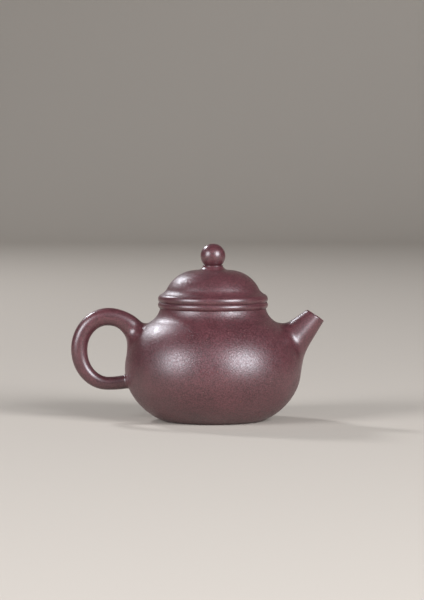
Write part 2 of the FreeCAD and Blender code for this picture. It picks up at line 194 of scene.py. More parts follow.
def clay_finish(name, roughness, tooth, scrape):
    """Fired clay: cloudy tone, sandy specks, a grain that stands up by its tooth, and scraping marks."""
    material = bpy.data.materials.new(name)
    material.use_nodes = True
    nodes = material.node_tree.nodes
    link = material.node_tree.links.new
    shader = nodes["Principled BSDF"]
    place = nodes.new("ShaderNodeTexCoord")

    def noise(scale, detail, roughening=0.5):
        """A cloudy pattern that stays with the piece."""
        texture = nodes.new("ShaderNodeTexNoise")
        texture.inputs["Scale"].default_value = scale
        texture.inputs["Detail"].default_value = detail
        texture.inputs["Roughness"].default_value = roughening
        link(place.outputs["Object"], texture.inputs["Vector"])
        return texture.outputs["Fac"]

    def spread(source, low, high, to_low=0.0, to_high=1.0):
        """A value moved from one range to another, and held inside it."""
        ranged = nodes.new("ShaderNodeMapRange")
        ranged.inputs["From Min"].default_value = low
        ranged.inputs["From Max"].default_value = high
        ranged.inputs["To Min"].default_value = to_low
        ranged.inputs["To Max"].default_value = to_high
        link(source, ranged.inputs["Value"])
        return ranged.outputs["Result"]

    def mixed(share, first, second):
        """One colour over another, by a share."""
        mix = nodes.new("ShaderNodeMix")
        mix.data_type = "RGBA"
        link(share, mix.inputs["Factor"])
        for socket, colour in ((mix.inputs["A"], first), (mix.inputs["B"], second)):
            if isinstance(colour, tuple):
                socket.default_value = colour
            else:
                link(colour, socket)
        return mix.outputs["Result"]

    def specks(scale, size, rarity):
        """Round grains: one in each cell of a pattern, of which only the rare ones are kept."""
        soft_edge = 0.55
        soft_choice = 0.02
        cells = nodes.new("ShaderNodeTexVoronoi")
        cells.inputs["Scale"].default_value = scale
        link(place.outputs["Object"], cells.inputs["Vector"])
        chance = nodes.new("ShaderNodeSeparateColor")
        link(cells.outputs["Color"], chance.inputs["Color"])
        kept = spread(chance.outputs["Red"], rarity, rarity + soft_choice)
        shape = spread(cells.outputs["Distance"], size, size * soft_edge)
        both = nodes.new("ShaderNodeMath")
        both.operation = "MULTIPLY"
        link(kept, both.inputs[0])
        link(shape, both.inputs[1])
        return both.outputs["Value"]

    cloud = spread(noise(CLOUDS, detail=4.0, roughening=0.6), low=0.32, high=0.68)
    grain = spread(noise(GRAINS, detail=1.0), low=0.40, high=0.60, to_low=0.08, to_high=0.62)
    tone = nodes.new("ShaderNodeMath")
    tone.operation = "MULTIPLY_ADD"
    tone.inputs[1].default_value = CLOUD_SHARE
    link(cloud, tone.inputs[0])
    link(grain, tone.inputs[2])
    colour = mixed(tone.outputs["Value"], CLAY_DARK, CLAY_LIGHT)
    colour = mixed(specks(PALE_SAND, size=0.15, rarity=0.88), colour, SAND_PALE)
    colour = mixed(specks(RED_SAND, size=0.14, rarity=0.94), colour, SAND_RED)
    pits = specks(PITS, size=0.15, rarity=0.88)
    colour = mixed(pits, colour, PIT_DARK)
    link(colour, shader.inputs["Base Color"])

    uneven = UNEVEN_POLISH * tooth
    marks = noise(POLISH_MARKS, detail=2.0)
    polish = spread(marks, low=0.35, high=0.65, to_low=roughness - uneven, to_high=roughness + uneven)
    link(polish, shader.inputs["Roughness"])
    shader.inputs["Specular IOR Level"].default_value = CLAY_SHINE

    normal = None
    layers = [
        (noise(TOOTH_COARSE, detail=2.0, roughening=0.6), tooth, COARSE_HEIGHT),
        (noise(TOOTH_FINE, detail=1.0), tooth, FINE_HEIGHT),
        (pits, -PIT_SHARE * tooth, PIT_DEPTH),
    ]
    if scrape:
        strokes = nodes.new("ShaderNodeTexWave")
        strokes.bands_direction = "Z"
        strokes.inputs["Scale"].default_value = SCRAPES
        strokes.inputs["Distortion"].default_value = SCRAPE_WANDER
        strokes.inputs["Detail"].default_value = SCRAPE_DETAIL
        link(place.outputs["Object"], strokes.inputs["Vector"])
        layers.append((strokes.outputs["Fac"], scrape, SCRAPE_DEPTH))
    for height, strength, depth in layers:
        bump = nodes.new("ShaderNodeBump")
        bump.inputs["Strength"].default_value = abs(strength)
        bump.inputs["Distance"].default_value = depth
        bump.invert = strength < 0
        link(height, bump.inputs["Height"])
        if normal is not None:
            link(normal, bump.inputs["Normal"])
        normal = bump.outputs["Normal"]
    link(normal, shader.inputs["Normal"])
    return material


burnished_clay = clay_finish("burnished_clay", roughness=0.40, tooth=0.8, scrape=0.0)
raw_clay = clay_finish("raw_clay", roughness=0.62, tooth=0.8, scrape=0.35)

dish_centre = (DISH_DEPTH**2 - DISH_RADIUS**2) / (2 * DISH_DEPTH)
turned(
    "bottom_slab",
    [
        Corner(0, DISH_DEPTH, 0, (0, dish_centre)),
        Corner(DISH_RADIUS, 0, DISH_EASE),
        Corner(FOOT_RADIUS, 0),
        Corner(FOOT_RADIUS, FLOOR_THICKNESS, raw=True),
        Corner(0, FLOOR_THICKNESS, 0),
    ],
    "pot",
    "base_disc",
)

# The wall is one strip of clay, beaten round with a paddle into the belly and drawn in to the shoulder.
# The outside is rubbed smooth with a horn rib until it has a satin skin, and the inside is only scraped.
# A round hole is cut through it behind the spout.
WALL = 3.0
BELLY_RADIUS = 45.4
BELLY_HEIGHT = 26.5
FOOT_SLOPE = math.radians(21.0)
TURN_SLOPE = math.radians(60.0)
SHOULDER_HEIGHT = 24.5
THROAT_HEIGHT = 9.0
THROAT_RADIUS = 27.0
SEAM_EASE = 0.01
JOINT_EASE = 0.05

shoulder_depth = BELLY_RADIUS - THROAT_RADIUS
shoulder_rise = SHOULDER_HEIGHT + THROAT_HEIGHT
seam_share = SHOULDER_HEIGHT / shoulder_rise
both_bends = (shoulder_depth**2 + shoulder_rise**2) / (2 * shoulder_depth)
shoulder_bend = seam_share * both_bends
shoulder_centre = BELLY_RADIUS - shoulder_bend
seam_height = BELLY_HEIGHT + SHOULDER_HEIGHT
seam_radius = BELLY_RADIUS - shoulder_depth * seam_share
seam_inside_radius = seam_radius - WALL * (seam_radius - shoulder_centre) / shoulder_bend
seam_inside_height = seam_height - WALL * SHOULDER_HEIGHT / shoulder_bend

sine_step = math.sin(TURN_SLOPE) - math.sin(FOOT_SLOPE)
cosine_step = math.cos(FOOT_SLOPE) - math.cos(TURN_SLOPE)
overhang = BELLY_RADIUS - FOOT_RADIUS
under_scale = (1 - math.sin(TURN_SLOPE)) * cosine_step - sine_step * math.cos(TURN_SLOPE)
under_bend = (overhang * cosine_step - sine_step * BELLY_HEIGHT) / under_scale
under_centre = BELLY_RADIUS - under_bend
foot_bend = ((1 - math.sin(TURN_SLOPE)) * BELLY_HEIGHT - math.cos(TURN_SLOPE) * overhang) / under_scale
turn_radius = BELLY_RADIUS - under_bend * (1 - math.sin(TURN_SLOPE))
turn_height = BELLY_HEIGHT - under_bend * math.cos(TURN_SLOPE)
foot_bend_centre = (
    turn_radius - foot_bend * math.sin(TURN_SLOPE),
    turn_height + foot_bend * math.cos(TURN_SLOPE),
)
turn_inside = (turn_radius - WALL * math.sin(TURN_SLOPE), turn_height + WALL * math.cos(TURN_SLOPE))
inside_run = turn_inside[0] - FOOT_RADIUS
inside_rise = turn_inside[1] - FLOOR_THICKNESS
inside_lean = inside_run * math.sin(TURN_SLOPE) - inside_rise * math.cos(TURN_SLOPE)
inside_bend = (inside_run**2 + inside_rise**2) / (2 * inside_lean)
inside_centre = (
    turn_inside[0] - inside_bend * math.sin(TURN_SLOPE),
    turn_inside[1] + inside_bend * math.cos(TURN_SLOPE),
)
pot_wall = turned(
    "pot_wall",
    [
        Corner(FOOT_RADIUS, 0, SHARP, foot_bend_centre),
        Corner(turn_radius, turn_height, SHARP, (under_centre, BELLY_HEIGHT)),
        Corner(BELLY_RADIUS, BELLY_HEIGHT, SHARP, (shoulder_centre, BELLY_HEIGHT)),
        Corner(seam_radius, seam_height, SEAM_EASE, raw=True),
        Corner(
            seam_inside_radius, seam_inside_height, SEAM_EASE, (shoulder_centre, BELLY_HEIGHT), True
        ),
        Corner(BELLY_RADIUS - WALL, BELLY_HEIGHT, SHARP, (under_centre, BELLY_HEIGHT), True),
        Corner(*turn_inside, SHARP, inside_centre, True),
        Corner(FOOT_RADIUS, FLOOR_THICKNESS, JOINT_EASE, raw=True),
    ],
    "pot",
    "belly_wall",
    "shoulder_wall",
)

SPOUT_ANGLE = math.radians(46.5)
SPOUT_REACH = 7.6
SPOUT_DROP = 3.6
BORE_TIP_RADIUS = 3.7
BORE_ROOT_RADIUS = 6.2
STRAINER_RADIUS = 9.2
SEARCH_BACK = 30.0
HALVINGS = 40
NEARLY_ACROSS = 0.9
PORT_SIDES = 64
neck_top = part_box("neck_ring")[1].z / MM
spout_tip = np.array([BELLY_RADIUS + SPOUT_REACH, 0.0, neck_top - SPOUT_DROP])
spout_along = np.array([math.cos(SPOUT_ANGLE), 0.0, math.sin(SPOUT_ANGLE)])
spout_under = np.array([math.sin(SPOUT_ANGLE), 0.0, -math.cos(SPOUT_ANGLE)])
across = np.array([0.0, 1.0, 0.0])


def over_wall(point, depth=0.0):
    """How far a point stands out from the wall's outer face, or from a face at some depth inside it."""
    radius = math.hypot(point[0], point[1])
    above = point[2] >= BELLY_HEIGHT
    centre = shoulder_centre if above else under_centre
    bend = shoulder_bend if above else under_bend
    return math.hypot(radius - centre, point[2] - BELLY_HEIGHT) - bend + depth


def wall_normal(point):
    """Direction straight out of the wall at a point near it."""
    radius = math.hypot(point[0], point[1])
    centre = shoulder_centre if point[2] >= BELLY_HEIGHT else under_centre
    out = np.array([radius - centre, point[2] - BELLY_HEIGHT])
    out /= np.linalg.norm(out)
    return np.array([out[0] * point[0] / radius, out[0] * point[1] / radius, out[1]])


def meets(path, start, end, depth=0.0):
    """Where a path of one number comes through the wall, found by halving the stretch between two values."""
    for _ in range(HALVINGS):
        middle = (start + end) / 2
        if over_wall(path(middle), depth) > 0:
            start = middle
        else:
            end = middle
    return (start + end) / 2


port_depth = meets(lambda back: spout_tip - back * spout_along, 0.0, SEARCH_BACK, WALL)
port = spout_tip - port_depth * spout_along
bore_depth = port_depth + STRAINER_RADIUS
bore_widening = (BORE_ROOT_RADIUS - BORE_TIP_RADIUS) / bore_depth


def cut_away(piece, cutter):
    """Cuts one mesh out of another for good, and throws the cutter away."""
    boolean = piece.modifiers.new("cut", "BOOLEAN")
    boolean.operation = "DIFFERENCE"
    boolean.solver = "EXACT"
    boolean.object = cutter
    bpy.context.view_layer.update()
    whole = piece.evaluated_get(bpy.context.evaluated_depsgraph_get())
    shaped = bpy.data.meshes.new_from_object(whole)
    shaped.name = piece.name
    piece.modifiers.clear()
    piece.data = shaped
    bpy.data.objects.remove(cutter)


def rods(name, starts, ends, start_radius, end_radius, sides):
    """Round tapered rods in one mesh, in millimetres, as a cutter."""
    points = []
    faces = []
    for start, end in zip(starts, ends):
        along = (end - start) / np.linalg.norm(end - start)
        side = np.cross(along, across if abs(along[1]) < NEARLY_ACROSS else np.array([1.0, 0.0, 0.0]))
        side /= np.linalg.norm(side)
        other = np.cross(along, side)
        first = len(points)
        for centre, radius in ((start, start_radius), (end, end_radius)):
            for step in range(sides):
                angle = 2 * math.pi * step / sides
                points.append(centre + radius * (math.cos(angle) * side + math.sin(angle) * other))
        for step in range(sides):
            ahead = (step + 1) % sides
            faces.append([first + step, first + ahead, first + sides + ahead, first + sides + step])
        faces.append([first + step for step in reversed(range(sides))])
        faces.append([first + sides + step for step in range(sides)])
    mesh = bpy.data.meshes.new(name)
    mesh.from_pydata((np.array(points) * MM).tolist(), [], faces)
    mesh.materials.append(burnished_clay)
    mesh.materials.append(raw_clay)
    mesh.polygons.foreach_set("material_index", [1] * len(faces))
    mesh.polygons.foreach_set("use_smooth", [True] * len(faces))
    cutter = bpy.data.objects.new(name, mesh)
    bpy.context.scene.collection.objects.link(cutter)
    return cutter


port_out = 3 * WALL
port_start = port - WALL * spout_along
port_end = port + port_out * spout_along
cut_away(
    pot_wall,
    rods(
        "port_cutter",
        [port_start],
        [port_end],
        BORE_TIP_RADIUS + bore_widening * (port_depth + WALL),
        BORE_TIP_RADIUS + bore_widening * (port_depth - port_out),
        PORT_SIDES,
    ),
)

# The strainer is a half ball of clay pressed over the hole inside the wall, behind the spout.
# It is pierced by hand with a round awl while the clay is leather hard, in rings round its middle.
# Its edge is luted to the wall with slip, and it is left unburnished.
STRAINER_WALL = 1.6
HOLE_RADIUS = 1.0
HOLE_RINGS = [(1, 0.0), (6, 27.0), (11, 53.0)]
HOLE_SIDES = 24
STRAINER_AROUND = 72
STRAINER_STEPS = 22
WIDEST_ANGLE = 3.0  # radians

dome_points = []
dome_rings = []
for reach, levels in (
    (STRAINER_RADIUS, range(STRAINER_STEPS + 1)),
    (STRAINER_RADIUS - STRAINER_WALL, range(STRAINER_STEPS, -1, -1)),
):
    for level in levels:
        dome_rings.append([])
        for step in range(STRAINER_AROUND):
            turn = 2 * math.pi * step / STRAINER_AROUND
            side = math.cos(turn) * spout_under + math.sin(turn) * across

            def on_ball(angle):
                return port + reach * (-math.cos(angle) * spout_along + math.sin(angle) * side)

            edge = meets(on_ball, WIDEST_ANGLE, 0.0, WALL)
            dome_rings[-1].append(len(dome_points))
            dome_points.append(on_ball(edge * level / STRAINER_STEPS))
            if level == 0:
                dome_rings[-1] *= STRAINER_AROUND
                break
dome_faces = []
for lower, upper in zip(dome_rings, dome_rings[1:]):
    for step in range(STRAINER_AROUND):
        ahead = (step + 1) % STRAINER_AROUND
        dome_faces.append(list(dict.fromkeys([lower[step], lower[ahead], upper[ahead], upper[step]])))
strainer = clay_mesh(
    "strainer", dome_points, dome_faces, [True] * len(dome_faces), "pot", "strainer_dome"
)
aims = []
for count, degrees in HOLE_RINGS:
    tilt = math.radians(degrees)
    for step in range(count):
        turn = 2 * math.pi * step / count
        side = math.cos(turn) * spout_under + math.sin(turn) * across
        aims.append(-math.cos(tilt) * spout_along + math.sin(tilt) * side)
cut_away(
    strainer,
    rods(
        "strainer_awl",
        [port + aim * (STRAINER_RADIUS - 2 * STRAINER_WALL) for aim in aims],
        [port + aim * (STRAINER_RADIUS + STRAINER_WALL) for aim in aims],
        HOLE_RADIUS,
        HOLE_RADIUS,
        HOLE_SIDES,
    ),
)

# The neck is a short strip of clay luted on the shoulder and rubbed down until its seam is gone.
# It curves from the slope of the shoulder to nearly upright under the rim.
RIM_COVER = 2.3
throat_level = seam_height + THROAT_HEIGHT
neck_bend = both_bends - shoulder_bend
neck_centre = (THROAT_RADIUS + neck_bend, throat_level)
neck_radius = neck_centre[0] - math.sqrt(neck_bend**2 - RIM_COVER**2)
mouth_radius = neck_centre[0] - math.sqrt((neck_bend + WALL) ** 2 - RIM_COVER**2)
turned(
    "neck_strip",
    [
        Corner(seam_radius, seam_height, SEAM_EASE, neck_centre),
        Corner(neck_radius, neck_top, JOINT_EASE, raw=True),
        Corner(mouth_radius, neck_top, JOINT_EASE, neck_centre, True),
        Corner(seam_inside_radius, seam_inside_height, SEAM_EASE, raw=True),
    ],
    "pot",
    "neck_ring",
)

# The mouth rim is a round coil of clay laid on the neck, shaped with a template into a bead.
# Its top is ground flat and matte after firing, so that the lid seats on it without rocking.
# The rest is rubbed with a wet hide, which leaves it smoother than the wall.
RIM_BULGE = 0.85
SEAT_STEP = 0.45
CREASE_EASE = 0.1
SEAT_EASE = 0.35
MOUTH_EASE = 0.3
seat_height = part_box("mouth_rim")[1].z / MM
seat_edge = neck_radius + SEAT_STEP


def bead_centre(lower, upper, bulge):
    """Centre of the arc that bulges outwards by some amount between two corners of a section."""
    chord = math.dist(lower, upper)
    drop = (chord**2 / 4 - bulge**2) / (2 * bulge)
    out = ((upper[1] - lower[1]) / chord, (lower[0] - upper[0]) / chord)
    return ((lower[0] + upper[0]) / 2 - drop * out[0], (lower[1] + upper[1]) / 2 - drop * out[1])


rubbed_clay = clay_finish("rubbed_clay", roughness=0.34, tooth=0.08, scrape=0.0)
turned(
    "mouth_bead",
    [
        Corner(
            neck_radius,
            neck_top,
            CREASE_EASE,
            bead_centre((neck_radius, neck_top), (seat_edge, seat_height), RIM_BULGE),
        ),
        Corner(seat_edge, seat_height, SEAT_EASE, raw=True),
        Corner(mouth_radius, seat_height, MOUTH_EASE),
        Corner(mouth_radius, neck_top, JOINT_EASE),
    ],
    "pot",
    "mouth_rim",
    skin=rubbed_clay,
)

# The spout is a short tapered tube, rolled round a stick and cut with a slanted lip.
# Its flared root is luted over the hole, and the joint is rubbed with a bamboo tool into a soft hollow.
# The outside is as smooth as the rim, and the bore is left raw.
SPOUT_TIP_RADIUS = 5.1
SPOUT_TAPER = math.radians(12.4)
CONE_LENGTH = 12.0
SPOUT_LENGTH = 27.0
SPOUT_FLARE = 3.45
LIP_TILT = math.radians(9.8)
LIP_EASE = 0.55
SPOUT_AROUND = 112
BORE_STEPS = 22
TUBE_STEPS = 34
ROOT_STEPS = 14
SPOUT_OVERRUN = 6.0
ROOT_HOLLOW = 3.0
HOLLOW_ABOVE = 2.2
LEAVE_BELOW = 3.0
LAND_BELOW = 4.0
HOLLOW_PULL = 0.6
SINK = 0.35
FEATHER = 0.1
NUDGE = 0.01
SETTLE_ROUNDS = 3
RUBBED_BORE_STEPS = 2

cone_radius = SPOUT_TIP_RADIUS + CONE_LENGTH * math.tan(SPOUT_TAPER)
root_radius = SPOUT_TIP_RADIUS + SPOUT_LENGTH * math.tan(SPOUT_TAPER) + SPOUT_FLARE
root_run = SPOUT_LENGTH - CONE_LENGTH
root_bend = (root_run**2 + (root_radius - cone_radius) ** 2) / (2 * SPOUT_FLARE * math.cos(SPOUT_TAPER))
flare_centre = (
    cone_radius + root_bend * math.cos(SPOUT_TAPER),
    CONE_LENGTH - root_bend * math.sin(SPOUT_TAPER),
)


def tube_radius(back):
    """Outer radius of the spout at a distance back from its tip."""
    if back < CONE_LENGTH:
        return SPOUT_TIP_RADIUS + back * math.tan(SPOUT_TAPER)
    return flare_centre[0] - math.sqrt(root_bend**2 - (back - flare_centre[1]) ** 2)


def bore_radius(back):
    """Radius of the pour passage at a distance back from the tip."""
    return BORE_TIP_RADIUS + bore_widening * back


def luted(tube, hit, leave, land, spread_way, steps):
    """A soft hollow from a tube to the wall: it leaves the tube before it hits, and lands beside it.

    The tube is a path of one number that runs into the wall, and hit is where it does.
    How far before that it leaves is given twice, in millimetres and in the path's own number."""
    start = tube(hit - leave[1])
    heading = start - tube(hit - leave[1] - NUDGE)
    heading /= np.linalg.norm(heading)
    foot = tube(hit)
    normal = wall_normal(foot)
    way = spread_way - (spread_way @ normal) * normal
    way /= np.linalg.norm(way)
    end = foot + land * way
    for _ in range(SETTLE_ROUNDS):
        end = end - over_wall(end) * wall_normal(end)
    end_normal = wall_normal(end)
    end = end - FEATHER * end_normal
    arrive = way - (way @ end_normal) * end_normal
    arrive /= np.linalg.norm(arrive)
    first = start + heading * leave[0] * HOLLOW_PULL
    second = end - arrive * land * HOLLOW_PULL
    hollow = []
    for share in np.linspace(0, 1, steps + 1)[1:]:
        rest = 1 - share
        hollow.append(
            rest**3 * start + 3 * rest**2 * share * first + 3 * rest * share**2 * second + share**3 * end
        )
    hollow.append(end - SINK * end_normal)
    return hollow


lip_normal = np.array([math.cos(SPOUT_ANGLE + LIP_TILT), 0.0, math.sin(SPOUT_ANGLE + LIP_TILT)])
spout_points = []
spout_raw = []
for step in range(SPOUT_AROUND):
    turn = 2 * math.pi * step / SPOUT_AROUND
    side = math.cos(turn) * spout_under + math.sin(turn) * across

    def outside(back):
        return spout_tip - back * spout_along + tube_radius(back) * side

    def inside(back):
        return spout_tip - back * spout_along + bore_radius(back) * side

    lip_slope = (side @ lip_normal) / (spout_along @ lip_normal)
    lip_out = SPOUT_TIP_RADIUS * lip_slope / (1 - math.tan(SPOUT_TAPER) * lip_slope)
    lip_in = BORE_TIP_RADIUS * lip_slope / (1 - bore_widening * lip_slope)
    bore_end = meets(inside, 0.0, SEARCH_BACK, SINK)
    tube_end = meets(outside, 0.0, SPOUT_LENGTH + SPOUT_OVERRUN)
    upper = max(0.0, -math.cos(turn))
    lower = max(0.0, math.cos(turn))
    leave = ROOT_HOLLOW + HOLLOW_ABOVE * upper + LEAVE_BELOW * lower
    land = ROOT_HOLLOW + HOLLOW_ABOVE * upper + LAND_BELOW * lower

    strand = [inside(back) for back in np.linspace(bore_end, lip_in + LIP_EASE, BORE_STEPS)]
    corner_in = inside(lip_in)
    corner_out = outside(lip_out)
    top = (corner_out - corner_in) / np.linalg.norm(corner_out - corner_in)
    for corner, begin, end in (
        (corner_in, inside(lip_in + LIP_EASE), corner_in + LIP_EASE * top),
        (corner_out, corner_out - LIP_EASE * top, outside(lip_out + LIP_EASE)),
    ):
        strand += [rounded(begin, corner, end, share) for share in np.linspace(0, 1, EASE_STEPS + 1)]
    strand += [outside(back) for back in np.linspace(lip_out + LIP_EASE, tube_end - leave, TUBE_STEPS)[1:]]
    strand += luted(outside, tube_end, (leave, leave), land, side, ROOT_STEPS)
    spout_points += strand
strand_length = len(spout_points) // SPOUT_AROUND
spout_faces = []
for step in range(SPOUT_AROUND):
    ahead = (step + 1) % SPOUT_AROUND
    for index in range(strand_length):
        after = (index + 1) % strand_length
        spout_faces.append(
            [
                step * strand_length + index,
                step * strand_length + after,
                ahead * strand_length + after,
                ahead * strand_length + index,
            ]
        )
        spout_raw.append(index < BORE_STEPS - RUBBED_BORE_STEPS)
clay_mesh("spout_tube", spout_points, spout_faces, spout_raw, "pot", "spout", skin=rubbed_clay)

# The handle is a coil rolled thicker at one end and bent into an ear-shaped loop.
# Its thick upper root is drawn out on the shoulder and rubbed smooth, and its tail is pressed on the belly.
# It is rubbed all over, as smooth as the rim.
LOOP_OUT = 8.6
LOOP_RISE = 9.8
LOOP_HALF_WIDTH = 14.9
LOOP_HALF_TOP = 17.1
LOOP_HALF_LOW = 17.3
UPPER_ROOT_RUN = 16.6
LOWER_ROOT_RUN = 30.0
GRIP_HALF = 4.25
TAIL_HALF = 3.3
UPPER_ROOT_HALF = 5.7
UPPER_ROOT_HALF_WIDTH = 5.3
LOWER_ROOT_HALF = 3.6
HANDLE_AROUND = 72
HANDLE_STEPS = 130
HANDLE_ROOT_STEPS = 12
UPPER_LEAVE = 5.5
LEAVE_CHANGE = 1.5
UPPER_LAND = 7.0
LAND_LESS_ON_TOP = 3.0
LAND_MORE_UNDER = 1.0
TAIL_HOLLOW = 1.2
# Angles round the loop in degrees: its outermost point, and where to look from there for the wall.
OUTERMOST = 180.0
SEARCH_FROM = 60.0
UPPER_SEARCH = 205.0
LOWER_SEARCH = 140.0
STATION_EASE = 9.0
STATION_SAMPLES = 13
# Angle round the loop in degrees, half thickness in the plane of the loop, and half width across it.
HANDLE_STATIONS = np.array(
    [
        (-30, UPPER_ROOT_HALF, UPPER_ROOT_HALF_WIDTH),
        (28, UPPER_ROOT_HALF, UPPER_ROOT_HALF_WIDTH),
        (46, (3 * UPPER_ROOT_HALF + GRIP_HALF) / 4, (2 * UPPER_ROOT_HALF_WIDTH + GRIP_HALF) / 3),
        (66, (UPPER_ROOT_HALF + 3 * GRIP_HALF) / 4, (UPPER_ROOT_HALF_WIDTH + 4 * GRIP_HALF) / 5),
        (90, (UPPER_ROOT_HALF + 4 * GRIP_HALF) / 5, (UPPER_ROOT_HALF_WIDTH + 9 * GRIP_HALF) / 10),
        (120, (UPPER_ROOT_HALF + 12 * GRIP_HALF) / 13, GRIP_HALF),
        (150, GRIP_HALF, GRIP_HALF),
        (180, GRIP_HALF, GRIP_HALF),
        (206, (3 * GRIP_HALF + TAIL_HALF) / 4, (3 * GRIP_HALF + TAIL_HALF) / 4),
        (228, (GRIP_HALF + TAIL_HALF) / 2, (GRIP_HALF + TAIL_HALF) / 2),
        (250, (GRIP_HALF + 3 * TAIL_HALF) / 4, (GRIP_HALF + 3 * TAIL_HALF) / 4),
        (270, TAIL_HALF, TAIL_HALF),
        (282, (TAIL_HALF + LOWER_ROOT_HALF) / 2, (TAIL_HALF + LOWER_ROOT_HALF) / 2),
        (292, LOWER_ROOT_HALF, LOWER_ROOT_HALF),
        (330, LOWER_ROOT_HALF, LOWER_ROOT_HALF),
    ]
)
loop_middle = np.array([-BELLY_RADIUS - LOOP_OUT, 0.0, BELLY_HEIGHT + LOOP_RISE])


def handle_half(angle, column):
    """Half thickness or half width at an angle round the loop, eased between the stations."""
    spread_angles = angle + np.linspace(-STATION_EASE, STATION_EASE, STATION_SAMPLES)
    return np.interp(spread_angles, HANDLE_STATIONS[:, 0], HANDLE_STATIONS[:, column]).mean()


def handle_skin(angle, turn):
    """A point of the handle, and the way out of it there, at an angle round the loop and a turn round it."""
    bend = math.radians(angle)
    out = math.cos(bend)
    up = math.sin(bend)
    if out < 0:
        run = LOOP_HALF_WIDTH
    else:
        run = UPPER_ROOT_RUN if angle < OUTERMOST else LOWER_ROOT_RUN
    rise = LOOP_HALF_TOP if angle < OUTERMOST else LOOP_HALF_LOW
    middle = loop_middle + np.array([run * out, 0.0, rise * up])
    away = np.array([rise * out, 0.0, run * up])
    away /= np.linalg.norm(away)
    return (
        middle
        + math.cos(turn) * handle_half(angle, 1) * away
        + math.sin(turn) * handle_half(angle, 2) * across,
        math.cos(turn) * away + math.sin(turn) * across,
    )


def handle_root(way, turn, search, leave, land):
    """One root of the handle: the angle at which the hollow leaves the coil, and the hollow's points."""

    def coil(run):
        return handle_skin(OUTERMOST + way * run, turn)[0]

    hit = meets(coil, SEARCH_FROM, search)
    pace = np.linalg.norm(coil(hit) - coil(hit - 1.0))
    side = handle_skin(OUTERMOST + way * hit, turn)[1]
    hollow = luted(coil, hit, (leave, leave / pace), land, side, HANDLE_ROOT_STEPS)
    return OUTERMOST + way * (hit - leave / pace), hollow


handle_points = []
for step in range(HANDLE_AROUND):
    turn = 2 * math.pi * step / HANDLE_AROUND
    top = max(0.0, math.cos(turn))
    under = max(0.0, -math.cos(turn))
    upper_leave = UPPER_LEAVE + LEAVE_CHANGE * (under - top)
    upper_land = UPPER_LAND - LAND_LESS_ON_TOP * top + LAND_MORE_UNDER * under
    begin, upper_hollow = handle_root(-1, turn, UPPER_SEARCH, upper_leave, upper_land)
    finish, lower_hollow = handle_root(1, turn, LOWER_SEARCH, TAIL_HOLLOW, TAIL_HOLLOW)
    strand = upper_hollow[::-1]
    strand += [handle_skin(angle, turn)[0] for angle in np.linspace(begin, finish, HANDLE_STEPS)]
    strand += lower_hollow
    handle_points += strand
strand_length = len(handle_points) // HANDLE_AROUND
handle_faces = []
for step in range(HANDLE_AROUND):
    ahead = (step + 1) % HANDLE_AROUND
    for index in range(strand_length - 1):
        handle_faces.append(
            [
                step * strand_length + index,
                ahead * strand_length + index,
                ahead * strand_length + index + 1,
                step * strand_length + index + 1,
            ]
        )
for index, order in ((0, -1), (strand_length - 1, 1)):
    ring = [step * strand_length + index for step in range(HANDLE_AROUND)][::order]
    hub = np.mean([handle_points[vertex] for vertex in ring], axis=0)
    hub = hub - (over_wall(hub) + SINK) * wall_normal(hub)
    handle_points.append(hub)
    for step in range(HANDLE_AROUND):
        handle_faces.append([len(handle_points) - 1, ring[step], ring[(step + 1) % HANDLE_AROUND]])
clay_mesh(
    "handle_loop",
    handle_points,
    handle_faces,
    [False] * len(handle_faces),
    "pot",
    "handle",
    skin=rubbed_clay,
)

# The lid's flange is a ring of clay that drops into the mouth and keeps the lid from sliding off.
# It is ground in to the mouth with fine sand, so that it runs close and true.
FLANGE_CLEARANCE = 0.35
FLANGE_WALL = 2.4
FLANGE_LEAD = 0.8
FLANGE_EASE = 0.4
LEAD_EASE = 0.3
flange_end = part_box("lid_flange")[0].z / MM
flange_outside = mouth_radius - FLANGE_CLEARANCE
flange_inside = flange_outside - FLANGE_WALL
turned(
    "flange_ring",
    [
        Corner(flange_inside, flange_end, FLANGE_EASE),
        Corner(flange_outside - FLANGE_LEAD / 2, flange_end, LEAD_EASE),
        Corner(flange_outside, flange_end + FLANGE_LEAD, FLANGE_EASE),
        Corner(flange_outside, seat_height, JOINT_EASE, raw=True),
        Corner(flange_inside, seat_height, JOINT_EASE, raw=True),
    ],
    "lid",
    "lid_flange",
)

# The lid's edge is a second coil, shaped with the same template as the mouth rim.
# The two beads lie one on the other, with a fine dark line between them where the lid seats.
# It is rubbed like the mouth rim, and its under side is ground matte to fit.
LID_RIM_BULGE = 0.85
LID_EDGE_STEP = 0.6
LID_EDGE_EASE = 0.15
lid_rim_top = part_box("lid_rim")[1].z / MM
lid_edge = seat_edge - LID_EDGE_STEP
turned(
    "lid_bead",
    [
        Corner(
            seat_edge,
            seat_height,
            SEAT_EASE,
            bead_centre((seat_edge, seat_height), (lid_edge, lid_rim_top), LID_RIM_BULGE),
        ),
        Corner(lid_edge, lid_rim_top, LID_EDGE_EASE),
        Corner(flange_inside, lid_rim_top, JOINT_EASE, raw=True),
        Corner(flange_inside, seat_height, JOINT_EASE, raw=True),
    ],
    "lid",
    "lid_rim",
    skin=rubbed_clay,
)

